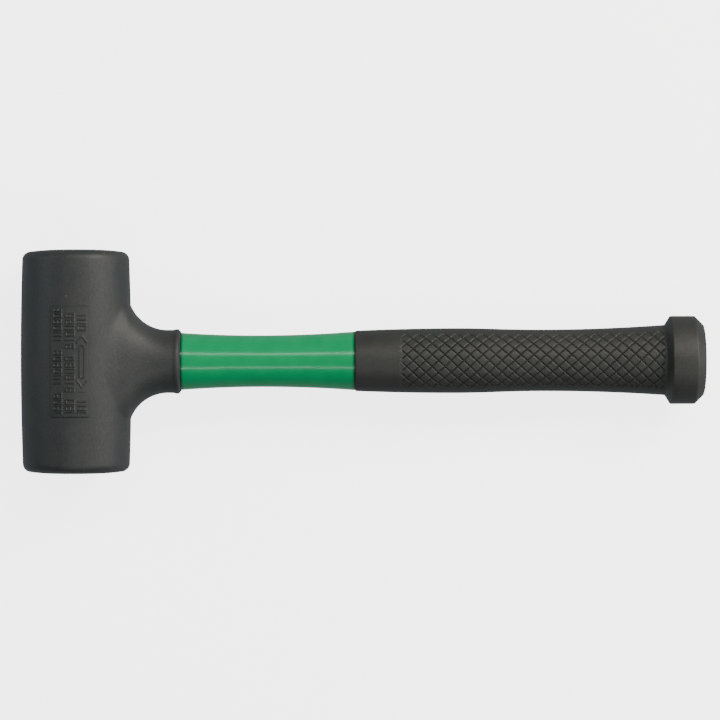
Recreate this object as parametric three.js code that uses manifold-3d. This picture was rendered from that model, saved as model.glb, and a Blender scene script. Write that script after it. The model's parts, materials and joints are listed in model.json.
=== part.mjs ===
// Dead blow mallet: a moulded rubber head over a sealed steel canister of loose steel balls, on a
// handle with a glass-fibre core, a green plastic jacket and a rubber grip.
//
// Millimetres, +Z up. The tool is drawn in its own frame first: the handle runs along +X, the head
// along Y, and the two axes cross at the origin. At the end the whole tool is laid on a bench, on
// the barrel of its head and the rim of its butt, with the origin at the middle of its footprint.
import * as THREE from 'three';
import { mergeVertices } from 'three/addons/utils/BufferGeometryUtils.js';
import Module from 'manifold-3d';

const wasm = await Module();
wasm.setup();

// ---- Driving dimensions ----

const gap = 0.3;            // between any two pieces that touch
const ovalRatio = 0.92;     // depth over height of the handle's oval section

const head = {
  radius: 25,               // barrel, at the middle of its length
  endTaper: 0.95,           // how much slimmer the barrel is at each end
  length: 101,              // over both striking faces
  edgeRadius: 3.8,          // rounding round each striking face
  faceCrown: 0.7,           // how far a striking face stands out in the middle
  faceFlatRadius: 11,       // the flat middle of a striking face
  faceThickness: 10,        // rubber between a striking face and the canister
  wall: 6,                  // rubber round the canister, at the middle
};

const label = {             // raised panel on the upper side of the head
  width: 17.6,
  length: 50,
  rise: 0.4,
  offset: 0.8,              // its middle lies this far towards the front of the head
};

const neck = {
  reach: 47.6,              // from the head's axis to the face of the lip
  wall: 1.1,                // rubber over the handle jacket at the lip
  straight: 6,              // length behind the lip before the flare starts
  filletRadius: 18.3,       // flare into the head, seen across the head
  arcTurn: 65,              // degrees of that arc before it eases off under the barrel's skin
  easeLength: 3.5,          // over which it eases off
  squareness: 2.6,          // power of the flare's superellipse section; 2 is a plain oval
  lipRise: 0.35,
  lipEdge: 1.1,             // bevel on the lip's outer edge
  lipLength: 3.2,
};

const canister = {
  wall: 2,
  capThickness: 2,
  spigotLength: 4,          // part of a cap that goes into the tube
};

const shot = { layers: 5 };  // close-packed, of seven balls and six in turn

const socket = {
  wall: 2,
  bondThickness: 0.8,       // adhesive round the core
};

const core = { radius: 8 };

const pin = { radius: 2 };

const jacket = {            // green plastic; walls are over the core, at the oval's longer radius
  headWall: 4.9,            // where it enters the neck
  insertion: 7.9,           // how much of it the neck hides
  waistWall: 3.63,
  waistReach: 83.2,
  gripWall: 5.25,           // where it meets the grip
  spigotWall: 3,            // under the grip
};

const grip = {              // walls are over the jacket's spigot, at the oval's longer radius
  start: 126.2,             // from the head's axis to the grip's front edge
  frontWall: 2.75,
  swellWall: 3.7,
  swellReach: 172,
  waistWall: 2.95,
  waistReach: 210,
  backWall: 4.95,           // where the butt begins
  backReach: 266.3,
};

const butt = {              // round end of the grip
  flare: 4,                 // how far its rim stands out over the grip
  coneLength: 2.5,
  rimLength: 11,            // straight part
  chamfer: 4.1,
  thickness: 7,             // rubber behind the core
};

// Faces round a full turn, and steps along a curve.
const turns = 48;
const ballDetail = 1;
const arcSteps = 6;

// ---- Sizes that follow from those ----

const jacketHeadRadius = core.radius + jacket.headWall;
const jacketWaistRadius = core.radius + jacket.waistWall;
const jacketGripRadius = core.radius + jacket.gripWall;
const spigotRadius = core.radius + jacket.spigotWall;
const buttRadius = spigotRadius + grip.backWall + butt.flare;

const neckHalfHeight = jacketHeadRadius + gap + neck.wall;
const neckHalfDepth = jacketHeadRadius * ovalRatio + gap + neck.wall;
const flareStart = neck.reach - neck.straight;
// The flare, seen along the head, is an arc that runs out tangent to the barrel. It is aimed a
// little inside the barrel, so that the two surfaces cross.
const flareTarget = head.radius - 0.1;
const flareRadius = (flareStart ** 2 + neckHalfDepth ** 2 - flareTarget ** 2)
  / (2 * (flareTarget - neckHalfDepth));
const flareEnd = flareStart * flareTarget / (flareTarget + flareRadius);

const canisterRadius = head.radius - head.wall;
const tubeHalfLength = head.length / 2 - head.faceThickness - canister.capThickness - 2 * gap;
const canisterHalfLength = tubeHalfLength + gap + canister.capThickness;
const boreRadius = canisterRadius - canister.wall;
const chamberHalfLength = tubeHalfLength + gap - canister.spigotLength;

// Balls lie in close-packed layers, seven in one and six in the next. The six reach furthest out:
// their corner balls stand 2 / sqrt(3) pitches from the middle, and a gap short of the bore.
const cornerReach = 2 / Math.sqrt(3);
const ballRadius = (boreRadius - gap - cornerReach * gap) / (2 * cornerReach + 1);
const ballPitch = 2 * ballRadius + gap;
const layerPitch = ballPitch * Math.sqrt(2 / 3);

const bondInner = core.radius + gap;
const bondOuter = bondInner + socket.bondThickness;
const socketInner = bondOuter + gap;
const socketOuter = socketInner + socket.wall;

const jacketStart = neck.reach - jacket.insertion;
const buttStart = grip.backReach + butt.coneLength;
const buttEnd = buttStart + butt.rimLength + butt.chamfer;
const coreStart = canisterRadius + 2 * gap;
const coreEnd = buttEnd - butt.thickness;
const pinReach = (canisterRadius + jacketStart) / 2;

// ---- Solids ----

// A closed geometry as a manifold-3d solid.
function solid(geometry) {
  const bare = geometry.clone();
  bare.deleteAttribute('normal');
  bare.deleteAttribute('uv');
  const merged = mergeVertices(bare, 1e-4);
  return new wasm.Manifold(new wasm.Mesh({
    numProp: 3,
    vertProperties: merged.getAttribute('position').array,
    triVerts: new Uint32Array(merged.index.array),
  }));
}

// A manifold-3d solid as a geometry with flat faces.
function geometryOf(made) {
  const mesh = made.getMesh();
  const geometry = new THREE.BufferGeometry();
  geometry.setAttribute('position', new THREE.BufferAttribute(mesh.vertProperties, 3));
  geometry.setIndex(new THREE.BufferAttribute(mesh.triVerts, 1));
  const flat = geometry.toNonIndexed();
  flat.computeVertexNormals();
  return flat;
}

// A plain cylinder along X, from one reach to another.
function barAlongX(radius, from, to) {
  return solid(new THREE.CylinderGeometry(radius, radius, to - from, turns)
    .rotateZ(-Math.PI / 2)
    .translate((from + to) / 2, 0, 0));
}

// A plain cylinder along Y, centred on the head.
function barAlongY(radius, halfLength) {
  return solid(new THREE.CylinderGeometry(radius, radius, 2 * halfLength, turns));
}

// A solid with an oval section that changes along X. Each station is [reach, half height, half
// depth, power], in order of reach; two stations at one reach make a flat shoulder. The power is
// the superellipse's, and a station without one is a plain oval.
function ovalLoft(stations) {
  const geometry = new THREE.CylinderGeometry(1, 1, 1, turns, stations.length - 1);
  const position = geometry.getAttribute('position');
  for (let i = 0; i < position.count; i++) {
    const row = Math.round((0.5 - position.getY(i)) * (stations.length - 1));
    const [reach, halfHeight, halfDepth, power = 2] = stations[row];
    const y = position.getX(i);
    const z = position.getZ(i);
    const length = (Math.abs(y) ** power + Math.abs(z) ** power) ** (1 / power);
    const size = length > 0.5 ? Math.hypot(y, z) / length : 1;
    position.setXYZ(i, reach, y * size * halfHeight, z * size * halfDepth);
  }
  return solid(geometry);
}

// Stations of the handle's usual oval, from [reach, half height] pairs.
function handleStations(outline) {
  return outline.map(([reach, halfHeight]) => [reach, halfHeight, halfHeight * ovalRatio]);
}

// `count` + 1 even values from one end to the other.
function steps(from, to, count) {
  return Array.from({ length: count + 1 }, (_, i) => from + (to - from) * i / count);
}

// ---- Head ----

// Radius of the barrel at a distance from the middle of the head. `inset` gives a smaller barrel
// under the same skin.
function barrelRadius(y, inset = 0) {
  return head.radius - inset - head.endTaper * (2 * y / head.length) ** 2;
}

// The head's skin, turned about Y: a flat-topped crown, a rounded edge and a slightly full barrel.
function barrel() {
  const edgeY = head.length / 2 - head.faceCrown - head.edgeRadius;
  const edgeX = barrelRadius(edgeY) - head.edgeRadius;
  const upper = steps(0, edgeY, arcSteps).map((y) => new THREE.Vector2(barrelRadius(y), y));
  for (const angle of steps(0, Math.PI / 2, arcSteps).slice(1)) {
    upper.push(new THREE.Vector2(
      edgeX + head.edgeRadius * Math.cos(angle),
      edgeY + head.edgeRadius * Math.sin(angle),
    ));
  }
  upper.push(new THREE.Vector2(head.faceFlatRadius, head.length / 2));
  upper.push(new THREE.Vector2(0, head.length / 2));
  const lower = upper.slice(1).reverse().map((p) => new THREE.Vector2(p.x, -p.y));
  return solid(new THREE.LatheGeometry([...lower, ...upper], turns));
}

// How far an arc has left its tangent, at a distance along that tangent.
function arcRise(radius, away) {
  return radius - Math.sqrt(radius ** 2 - away ** 2);
}

// Rise of the neck's fillet: an arc up to its turn, and from there a rise that dies out
// exponentially from the same slope.
function filletRise(away) {
  const turn = THREE.MathUtils.degToRad(neck.arcTurn);
  const onArc = Math.min(away, neck.filletRadius * Math.sin(turn));
  const beyond = (away - onArc) / neck.easeLength;
  return arcRise(neck.filletRadius, onArc)
    + Math.tan(turn) * neck.easeLength * (1 - Math.exp(-beyond));
}

// The neck: a fillet across the head down to the handle, a gentler arc along the head that runs
// out on the barrel, and a small raised lip where the handle comes out.
function neckFlare() {
  const stations = [];
  for (const reach of steps(flareEnd, flareStart, 3 * arcSteps)) {
    const away = flareStart - reach;
    stations.push([
      reach,
      neckHalfHeight + filletRise(away),
      neckHalfDepth + arcRise(flareRadius, away),
      2 + (neck.squareness - 2) * THREE.MathUtils.smoothstep(away, 0, neck.filletRadius),
    ]);
  }
  const lip = [
    [neck.reach - neck.lipLength, 0],
    [neck.reach - neck.lipLength / 2, neck.lipRise],
    [neck.reach - neck.lipEdge, neck.lipRise],
    [neck.reach, neck.lipRise - neck.lipEdge],
  ];
  for (const [reach, rise] of lip) {
    stations.push([reach, neckHalfHeight + rise, neckHalfDepth + rise]);
  }
  return ovalLoft(stations);
}

// The raised label panel, from well inside the barrel to its face, which follows the barrel's skin.
function labelPanel() {
  const block = solid(new THREE.BoxGeometry(label.width, label.length, head.radius)
    .translate(-label.offset, 0, head.radius));
  const face = solid(new THREE.LatheGeometry([
    new THREE.Vector2(0, -label.length),
    ...steps(-label.length / 2, label.length / 2, arcSteps)
      .map((y) => new THREE.Vector2(barrelRadius(y, -label.rise), y)),
    new THREE.Vector2(0, label.length),
  ], turns));
  return block.intersect(face);
}

function headJacket() {
  const canisterRoom = barAlongY(canisterRadius + gap, canisterHalfLength + gap);
  const socketRoom = barAlongX(socketOuter + gap, 0, neck.reach);
  const handleRoom = ovalLoft([
    [jacketStart - gap, jacketHeadRadius + gap, jacketHeadRadius * ovalRatio + gap],
    [neck.reach + gap, jacketHeadRadius + gap, jacketHeadRadius * ovalRatio + gap],
  ]);
  return barrel().add(neckFlare()).add(labelPanel())
    .subtract(canisterRoom)
    .subtract(socketRoom)
    .subtract(handleRoom);
}

// ---- Canister ----

function canisterTube() {
  return barAlongY(canisterRadius, tubeHalfLength)
    .subtract(barAlongY(boreRadius, head.length));
}

// A cap for the +Y end: a disc over the end of the tube, with a spigot inside it.
function canisterCap() {
  const inner = chamberHalfLength;
  const shoulder = tubeHalfLength + gap;
  const outer = canisterHalfLength;
  const plugRadius = boreRadius - gap;
  return solid(new THREE.LatheGeometry([
    new THREE.Vector2(0, inner),
    new THREE.Vector2(plugRadius, inner),
    new THREE.Vector2(plugRadius, shoulder),
    new THREE.Vector2(canisterRadius, shoulder),
    new THREE.Vector2(canisterRadius, outer),
    new THREE.Vector2(0, outer),
  ], turns));
}

// Centres of the balls of one close-packed layer, as [x, z] pairs.
function ballPlaces(layer) {
  const ring = (radius, count, startAngle) => Array.from({ length: count }, (_, i) => {
    const angle = startAngle + i * 2 * Math.PI / count;
    return [radius * Math.cos(angle), radius * Math.sin(angle)];
  });
  const corner = cornerReach * ballPitch;
  return layer % 2 === 0
    ? [[0, 0], ...ring(ballPitch, 6, 0)]
    : [...ring(corner / 2, 3, Math.PI / 2), ...ring(corner, 3, Math.PI / 6)];
}

// ---- Handle ----

const canisterClearance = () => barAlongY(canisterRadius + gap, head.length);
const pinHole = () => barAlongY(pin.radius + gap, head.length).translate([pinReach, 0, 0]);

// Steel collar welded to the side of the canister; its foot is coped to the tube.
function handleSocket() {
  return barAlongX(socketOuter, 0, jacketStart - gap)
    .subtract(barAlongX(socketInner, -1, neck.reach))
    .subtract(canisterClearance())
    .subtract(pinHole());
}

function adhesiveBond() {
  return barAlongX(bondOuter, 0, jacketStart - 2 * gap)
    .subtract(barAlongX(bondInner, -1, neck.reach))
    .subtract(canisterClearance())
    .subtract(pinHole());
}

function handleCore() {
  return barAlongX(core.radius, coreStart, coreEnd).subtract(pinHole());
}

function socketPin() {
  return barAlongY(pin.radius, socketOuter - gap).translate([pinReach, 0, 0]);
}

// Half height of the handle jacket where it shows: two parabolas that meet at the waist.
function jacketHalfHeight(reach) {
  const [endReach, endRadius] = reach < jacket.waistReach
    ? [neck.reach, jacketHeadRadius]
    : [grip.start, jacketGripRadius];
  const share = (reach - jacket.waistReach) / (endReach - jacket.waistReach);
  return jacketWaistRadius + (endRadius - jacketWaistRadius) * share ** 2;
}

function handleJacket() {
  const shown = [
    ...steps(neck.reach, jacket.waistReach, arcSteps),
    ...steps(jacket.waistReach, grip.start, arcSteps).slice(1),
  ].map((reach) => [reach, jacketHalfHeight(reach)]);
  const outline = [
    [jacketStart, jacketHeadRadius],
    ...shown,
    [grip.start, spigotRadius],
    [coreEnd, spigotRadius],
  ];
  return ovalLoft(handleStations(outline))
    .subtract(barAlongX(core.radius + gap, 0, buttEnd));
}

// Half height of the grip: a parabola up to the swell, half a cosine wave down to the waist, and a
// parabola out to the butt.
function gripHalfHeight(reach) {
  const { start, swellReach, waistReach, backReach } = grip;
  if (reach < swellReach) {
    const share = (swellReach - reach) / (swellReach - start);
    return spigotRadius + grip.swellWall + (grip.frontWall - grip.swellWall) * share ** 2;
  }
  if (reach < waistReach) {
    const share = (reach - swellReach) / (waistReach - swellReach);
    const fall = (1 + Math.cos(Math.PI * share)) / 2;
    return spigotRadius + grip.waistWall + (grip.swellWall - grip.waistWall) * fall;
  }
  const share = (reach - waistReach) / (backReach - waistReach);
  return spigotRadius + grip.waistWall + (grip.backWall - grip.waistWall) * share ** 2;
}

// The grip: a hand swell, a waist and a round butt, over a blind oval bore.
function handleGrip() {
  const front = grip.start + gap;
  const bevel = [front, gripHalfHeight(front) - gap];
  const body = [
    ...steps(front + gap, grip.waistReach, 2 * arcSteps),
    ...steps(grip.waistReach, grip.backReach, arcSteps).slice(1),
  ].map((reach) => [reach, gripHalfHeight(reach)]);
  const round = [
    [buttStart, buttRadius],
    [buttStart + butt.rimLength, buttRadius],
    [buttEnd, buttRadius - butt.chamfer],
  ].map(([reach, radius]) => [reach, radius, radius]);
  const bore = [
    [grip.start - gap, spigotRadius + gap],
    [coreEnd + gap, spigotRadius + gap],
  ];
  return ovalLoft([...handleStations([bevel, ...body]), ...round])
    .subtract(ovalLoft(handleStations(bore)));
}

// ---- Materials ----

const finish = (color, roughness, metalness = 0) =>
  new THREE.MeshStandardMaterial({ color, roughness, metalness });

const headRubber = finish(0x3b3d3c, 0.75);
const gripRubber = finish(0x3a3c39, 0.8);
const greenPlastic = finish(0x00a862, 0.3);
const glassFibre = finish(0xd9cfa6, 0.5);
const epoxy = finish(0xb98a3c, 0.25);
const canisterSteel = finish(0x8d9196, 0.4, 1);
const ballSteel = finish(0xb9bcc0, 0.2, 1);

// ---- Assembly ----

function piece(name, geometry, material) {
  const mesh = new THREE.Mesh(geometry, material);
  mesh.name = name;
  return mesh;
}

const tool = new THREE.Group();
tool.add(piece('head_jacket', geometryOf(headJacket()), headRubber));
tool.add(piece('canister_tube', geometryOf(canisterTube()), canisterSteel));
tool.add(piece('handle_socket', geometryOf(handleSocket()), canisterSteel));
tool.add(piece('adhesive_bond', geometryOf(adhesiveBond()), epoxy));
tool.add(piece('socket_pin', geometryOf(socketPin()), ballSteel));
tool.add(piece('handle_core', geometryOf(handleCore()), glassFibre));
tool.add(piece('handle_jacket', geometryOf(handleJacket()), greenPlastic));
tool.add(piece('handle_grip', geometryOf(handleGrip()), gripRubber));

const capGeometry = geometryOf(canisterCap());
const upperCap = piece('canister_cap_a', capGeometry, canisterSteel);
const lowerCap = piece('canister_cap_b', capGeometry, canisterSteel);
lowerCap.rotation.x = Math.PI;
tool.add(upperCap, lowerCap);

// The loose balls, gathered at the -Y end of the chamber as after a blow.
const shotGroup = new THREE.Group();
shotGroup.position.y = gap + ballRadius - chamberHalfLength;
const ballGeometry = new THREE.IcosahedronGeometry(ballRadius, ballDetail);
let ballCount = 0;
for (let layer = 0; layer < shot.layers; layer++) {
  for (const [x, z] of ballPlaces(layer)) {
    ballCount += 1;
    const ball = piece(`shot_ball_${String(ballCount).padStart(2, '0')}`, ballGeometry, ballSteel);
    ball.position.set(x, layer * layerPitch, z);
    shotGroup.add(ball);
  }
}
tool.add(shotGroup);

// Laid on a bench. The floor touches the barrel and the back edge of the butt's rim, so the handle
// dips by the angle between its own axis and that line.
const rimReach = buttStart + butt.rimLength;
const rimDistance = Math.hypot(rimReach, buttRadius);
tool.rotation.y = Math.asin(head.radius / rimDistance) - Math.atan2(buttRadius, rimReach);

const mallet = new THREE.Group();
mallet.add(tool);
mallet.updateMatrixWorld(true);
const bounds = new THREE.Box3().setFromObject(mallet, true);
const middle = bounds.getCenter(new THREE.Vector3());
tool.position.set(-middle.x, -middle.y, -bounds.min.z);

export default mallet;
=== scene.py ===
# Dead blow mallet on a pale bench: rubber head, glossy green handle jacket, cross-grooved grip,
# and what the head holds inside.
#
# Shapes are worked out in the tool's own millimetres, with the handle along X, the head along Y and
# the two axes crossing at the origin, and then placed in the frame by the record's mounts.
import json
import math
import bmesh
import bpy
import numpy as np
from mathutils import Matrix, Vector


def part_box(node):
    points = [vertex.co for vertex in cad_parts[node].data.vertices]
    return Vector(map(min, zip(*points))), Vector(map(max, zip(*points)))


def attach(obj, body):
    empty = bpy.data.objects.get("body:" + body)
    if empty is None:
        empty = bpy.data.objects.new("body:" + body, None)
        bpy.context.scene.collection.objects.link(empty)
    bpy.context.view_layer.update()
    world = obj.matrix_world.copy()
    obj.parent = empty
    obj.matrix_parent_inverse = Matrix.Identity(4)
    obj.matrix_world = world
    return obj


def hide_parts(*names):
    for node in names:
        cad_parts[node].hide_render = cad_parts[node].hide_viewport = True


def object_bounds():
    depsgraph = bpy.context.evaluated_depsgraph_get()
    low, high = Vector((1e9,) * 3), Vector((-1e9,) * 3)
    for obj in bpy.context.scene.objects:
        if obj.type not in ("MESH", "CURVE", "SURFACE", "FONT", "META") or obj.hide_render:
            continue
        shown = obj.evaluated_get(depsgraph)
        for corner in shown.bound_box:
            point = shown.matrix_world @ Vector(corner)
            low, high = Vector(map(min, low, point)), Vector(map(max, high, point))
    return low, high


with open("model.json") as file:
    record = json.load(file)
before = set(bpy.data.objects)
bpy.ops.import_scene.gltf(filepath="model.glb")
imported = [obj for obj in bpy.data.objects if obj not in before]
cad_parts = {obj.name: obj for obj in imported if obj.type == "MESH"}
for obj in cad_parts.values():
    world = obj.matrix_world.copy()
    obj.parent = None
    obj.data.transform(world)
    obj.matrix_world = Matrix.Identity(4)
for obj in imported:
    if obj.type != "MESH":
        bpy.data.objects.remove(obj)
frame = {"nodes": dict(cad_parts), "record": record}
cadLow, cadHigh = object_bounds()
mounts = {m["name"]: m for m in frame["record"]["mounts"]}
nodes = frame["nodes"]
print("frame loaded:", len(nodes), "nodes")

# the tool's own axes, from the middles of the striking faces and the butt's flat end
mm = 0.001
faceA = np.array(mounts["striking_face_a"]["pos_m"])
faceB = np.array(mounts["striking_face_b"]["pos_m"])
headCentre = (faceA + faceB) / 2
headLength = np.linalg.norm(faceA - faceB) / mm
headAxis = (faceA - faceB) / (headLength * mm)
handleAxis = np.array(mounts["butt_end"]["axis"])
handleAxis = handleAxis / np.linalg.norm(handleAxis)
upAxis = np.cross(handleAxis, headAxis)
toolAxes = np.array([handleAxis, headAxis, upAxis])
buttEnd = np.dot(np.array(mounts["butt_end"]["pos_m"]) - headCentre, handleAxis) / mm
headRadius = (headCentre[0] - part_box("head_jacket")[0].x) / mm


def place(points):
    # millimetres along the tool's axes, to metres in the frame
    return headCentre + mm * (np.asarray(points) @ toolAxes)


mergeDistance = 0.002 * mm      # closer points of neighbouring patches are one point


def gridQuads(rows, columns, closed=False):
    # the quads of a grid numbered row by row; a closed one joins its last column to its first
    i, j = np.meshgrid(np.arange(rows - 1), np.arange(columns - (not closed)), indexing="ij")
    right = (j + 1) % columns
    return np.stack(
        [i * columns + j, i * columns + right, (i + 1) * columns + right, (i + 1) * columns + j],
        axis=-1,
    )


def ringPatch(rings):
    # rings is an array of closed rings of points, joined one to the next
    quads = gridQuads(rings.shape[0], rings.shape[1], closed=True)
    return rings.reshape(-1, 3), quads.reshape(-1, 4)


def addPiece(name, patches, material, body, stands=(), sharpAngle=30):
    # one mesh from patches that share their edges: their points are merged and the faces turned out
    points, starts, corners, first = [], [], [], 0
    count = 0
    for patchPoints, patchFaces in patches:
        points.append(place(patchPoints))
        groups = [patchFaces] if isinstance(patchFaces, np.ndarray) else patchFaces
        for faces in groups:
            faces = np.asarray(faces)
            starts.append(count + np.arange(len(faces)) * faces.shape[1])
            corners.append((faces + first).ravel())
            count += faces.size
        first += len(patchPoints)
    # points that no face uses are left out
    used, corners = np.unique(np.concatenate(corners), return_inverse=True)
    points, starts = np.concatenate(points)[used], np.concatenate(starts)
    mesh = bpy.data.meshes.new(name)
    mesh.vertices.add(len(points))
    mesh.vertices.foreach_set("co", points.astype(np.float32).ravel())
    mesh.loops.add(len(corners))
    mesh.loops.foreach_set("vertex_index", corners.astype(np.int32))
    mesh.polygons.add(len(starts))
    mesh.polygons.foreach_set("loop_start", starts.astype(np.int32))
    mesh.update(calc_edges=True)
    merged = bmesh.new()
    merged.from_mesh(mesh)
    bmesh.ops.remove_doubles(merged, verts=merged.verts, dist=mergeDistance)
    bmesh.ops.recalc_face_normals(merged, faces=merged.faces)
    openEdges = sum(1 for edge in merged.edges if len(edge.link_faces) != 2)
    merged.to_mesh(mesh)
    merged.free()
    mesh.polygons.foreach_set("use_smooth", np.ones(len(mesh.polygons), bool))
    mesh.set_sharp_from_angle(angle=math.radians(sharpAngle))
    piece = bpy.data.objects.new(name, mesh)
    bpy.context.scene.collection.objects.link(piece)
    mesh.materials.append(material)
    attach(piece, body)
    if stands:
        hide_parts(*stands)
    print("made", name, len(mesh.polygons), "faces, open edges", openEdges)


def smoothStep(x):
    # rises from 0 to 1 with level ends
    x = np.clip(x, 0, 1)
    return x * x * (3 - 2 * x)


def roundedPath(corners, rounding, steps=5):
    # a polyline whose inner corners are rounded: each is a parabola from a point `rounding` short
    # of the corner to a point `rounding` past it, and takes no more than half of either side
    corners = np.array(corners, float)
    path = [corners[:1]]
    share = np.linspace(0, 1, steps + 1)[:, None]
    for before, corner, after, cut in zip(corners[:-2], corners[1:-1], corners[2:], rounding):
        into = corner + (before - corner) * min(0.5, cut / np.linalg.norm(before - corner))
        out = corner + (after - corner) * min(0.5, cut / np.linalg.norm(after - corner))
        path.append(into * (1 - share) ** 2 + corner * 2 * share * (1 - share) + out * share**2)
    path.append(corners[-1:])
    return np.concatenate(path)


def rgb(code):
    # an sRGB hex colour as linear red, green, blue and alpha
    parts = np.array([int(code[i : i + 2], 16) for i in (1, 3, 5)]) / 255
    linear = np.where(parts <= 0.04045, parts / 12.92, ((parts + 0.055) / 1.055) ** 2.4)
    return (*linear.tolist(), 1.0)


def addNode(tree, kind, links=None, stops=None, **settings):
    # adds a node; a setting names one of its properties or, failing that, one of its sockets with _
    # for a space, and a ramp's two stops are its places and colours
    node = tree.nodes.new(kind)
    for key, value in settings.items():
        if hasattr(node, key):
            setattr(node, key, value)
        else:
            node.inputs[key.replace("_", " ")].default_value = value
    for key, source in (links or {}).items():
        tree.links.new(source, node.inputs[key])
    if stops:
        for element, (where, code) in zip(node.color_ramp.elements, stops):
            element.position = where
            element.color = rgb(code)
    return node


def newMaterial(name, **sockets):
    # a material with one Principled shader; the sockets are set on it directly
    material = bpy.data.materials.new(name)
    material.use_nodes = True
    tree = material.node_tree
    tree.nodes.clear()
    shader = addNode(tree, "ShaderNodeBsdfPrincipled", **sockets)
    addNode(tree, "ShaderNodeOutputMaterial", {"Surface": shader.outputs["BSDF"]})
    return material, tree, shader


def perMillimetre(size):
    # the noise scale, on coordinates in metres, whose features are about `size` millimetres
    return 1 / (size * mm)


noiseLow, noiseHigh = 0.3, 0.7      # nearly all of a noise texture's values lie between these


def mouldedRubber(name, look):
    # filled rubber, moulded in a spark-eroded tool: dead matt, with a fine grain that scatters the
    # light, broad cloudy tone changes where the filler has bloomed, and a few pale dust specks
    material, tree, shader = newMaterial(name, IOR=1.52, Specular_IOR_Level=look["shine"])
    where = addNode(tree, "ShaderNodeTexCoord").outputs["Object"]
    cloud = addNode(tree, "ShaderNodeTexNoise", {"Vector": where},
                    Scale=perMillimetre(look["cloud"]), Detail=3.0, Roughness=0.6)
    grain = addNode(tree, "ShaderNodeTexNoise", {"Vector": where},
                    Scale=perMillimetre(look["grain"]), Detail=4.0, Roughness=0.7)
    speck = addNode(tree, "ShaderNodeTexVoronoi", {"Vector": where},
                    Scale=perMillimetre(look["speckStep"]))
    tone = addNode(tree, "ShaderNodeMix", {"A": cloud.outputs["Fac"], "B": grain.outputs["Fac"]},
                   data_type="FLOAT", Factor=look["grainShare"])
    base = addNode(tree, "ShaderNodeValToRGB", {"Fac": tone.outputs["Result"]},
                   stops=((noiseLow, look["dark"]), (noiseHigh, look["light"])))
    dust = addNode(tree, "ShaderNodeMapRange", {"Value": speck.outputs["Distance"]},
                   From_Min=look["speckSize"], From_Max=look["speckSize"] / 2,
                   To_Min=0.0, To_Max=look["dustShare"])
    colour = addNode(tree, "ShaderNodeMix",
                     {"Factor": dust.outputs["Result"], "A": base.outputs["Color"]},
                     data_type="RGBA", B=rgb(look["dust"]))
    tree.links.new(colour.outputs["Result"], shader.inputs["Base Color"])
    rough = addNode(tree, "ShaderNodeMapRange", {"Value": cloud.outputs["Fac"]},
                    From_Min=noiseLow, From_Max=noiseHigh,
                    To_Min=look["roughness"][0], To_Max=look["roughness"][1])
    tree.links.new(rough.outputs["Result"], shader.inputs["Roughness"])
    bump = addNode(tree, "ShaderNodeBump", {"Height": grain.outputs["Fac"]},
                   Strength=look["bump"], Distance=look["grainDepth"] * mm)
    tree.links.new(bump.outputs["Normal"], shader.inputs["Normal"])
    return material


# cloud, grain, grainDepth and speckStep are in millimetres; speckSize is a share of speckStep
headRubber = mouldedRubber("nitrile rubber, moulded", {
    "dark": "#232727", "light": "#353533", "roughness": (0.47, 0.58), "shine": 0.45,
    "cloud": 14.0, "grain": 1.2, "grainShare": 0.45, "grainDepth": 0.12, "bump": 0.8,
    "dust": "#8a867e", "dustShare": 0.55, "speckStep": 9.0, "speckSize": 0.035,
})
gripRubber = mouldedRubber("thermoplastic rubber, moulded", {
    "dark": "#252623", "light": "#363632", "roughness": (0.49, 0.6), "shine": 0.42,
    "cloud": 18.0, "grain": 1.1, "grainShare": 0.45, "grainDepth": 0.12, "bump": 0.7,
    "dust": "#75726a", "dustShare": 0.55, "speckStep": 14.0, "speckSize": 0.025,
})


def workedSteel(name, look):
    # bare steel under a film of oil: tone and roughness vary along fine scratches, which run
    # along the head
    material, tree, shader = newMaterial(name, Metallic=1.0)
    where = addNode(tree, "ShaderNodeTexCoord").outputs["Object"]
    along = addNode(tree, "ShaderNodeMapping", {"Vector": where}, Scale=(1, 1 / look["stretch"], 1))
    line = addNode(tree, "ShaderNodeTexNoise", {"Vector": along.outputs["Vector"]},
                   Scale=perMillimetre(look["scratch"]), Detail=3.0)
    tone = addNode(tree, "ShaderNodeValToRGB", {"Fac": line.outputs["Fac"]},
                   stops=((noiseLow, look["dark"]), (noiseHigh, look["light"])))
    tree.links.new(tone.outputs["Color"], shader.inputs["Base Color"])
    rough = addNode(tree, "ShaderNodeMapRange", {"Value": line.outputs["Fac"]},
                    From_Min=noiseLow, From_Max=noiseHigh,
                    To_Min=look["roughness"][0], To_Max=look["roughness"][1])
    tree.links.new(rough.outputs["Result"], shader.inputs["Roughness"])
    bump = addNode(tree, "ShaderNodeBump", {"Height": line.outputs["Fac"]},
                   Strength=0.2, Distance=look["depth"] * mm)
    tree.links.new(bump.outputs["Normal"], shader.inputs["Normal"])
    return material


# scratch is a scratch's width and depth how deep it is, in millimetres; stretch is its length over
# its width
canisterSteel = workedSteel("mild steel, drawn and oiled", {
    "dark": "#7d8085", "light": "#a2a5aa", "roughness": (0.3, 0.44),
    "scratch": 0.5, "stretch": 12.5, "depth": 0.05,
})
ballSteel = workedSteel("bearing steel, tumbled", {
    "dark": "#a9abae", "light": "#c9cbce", "roughness": (0.14, 0.28),
    "scratch": 0.9, "stretch": 12.5, "depth": 0.05,
})


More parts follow.
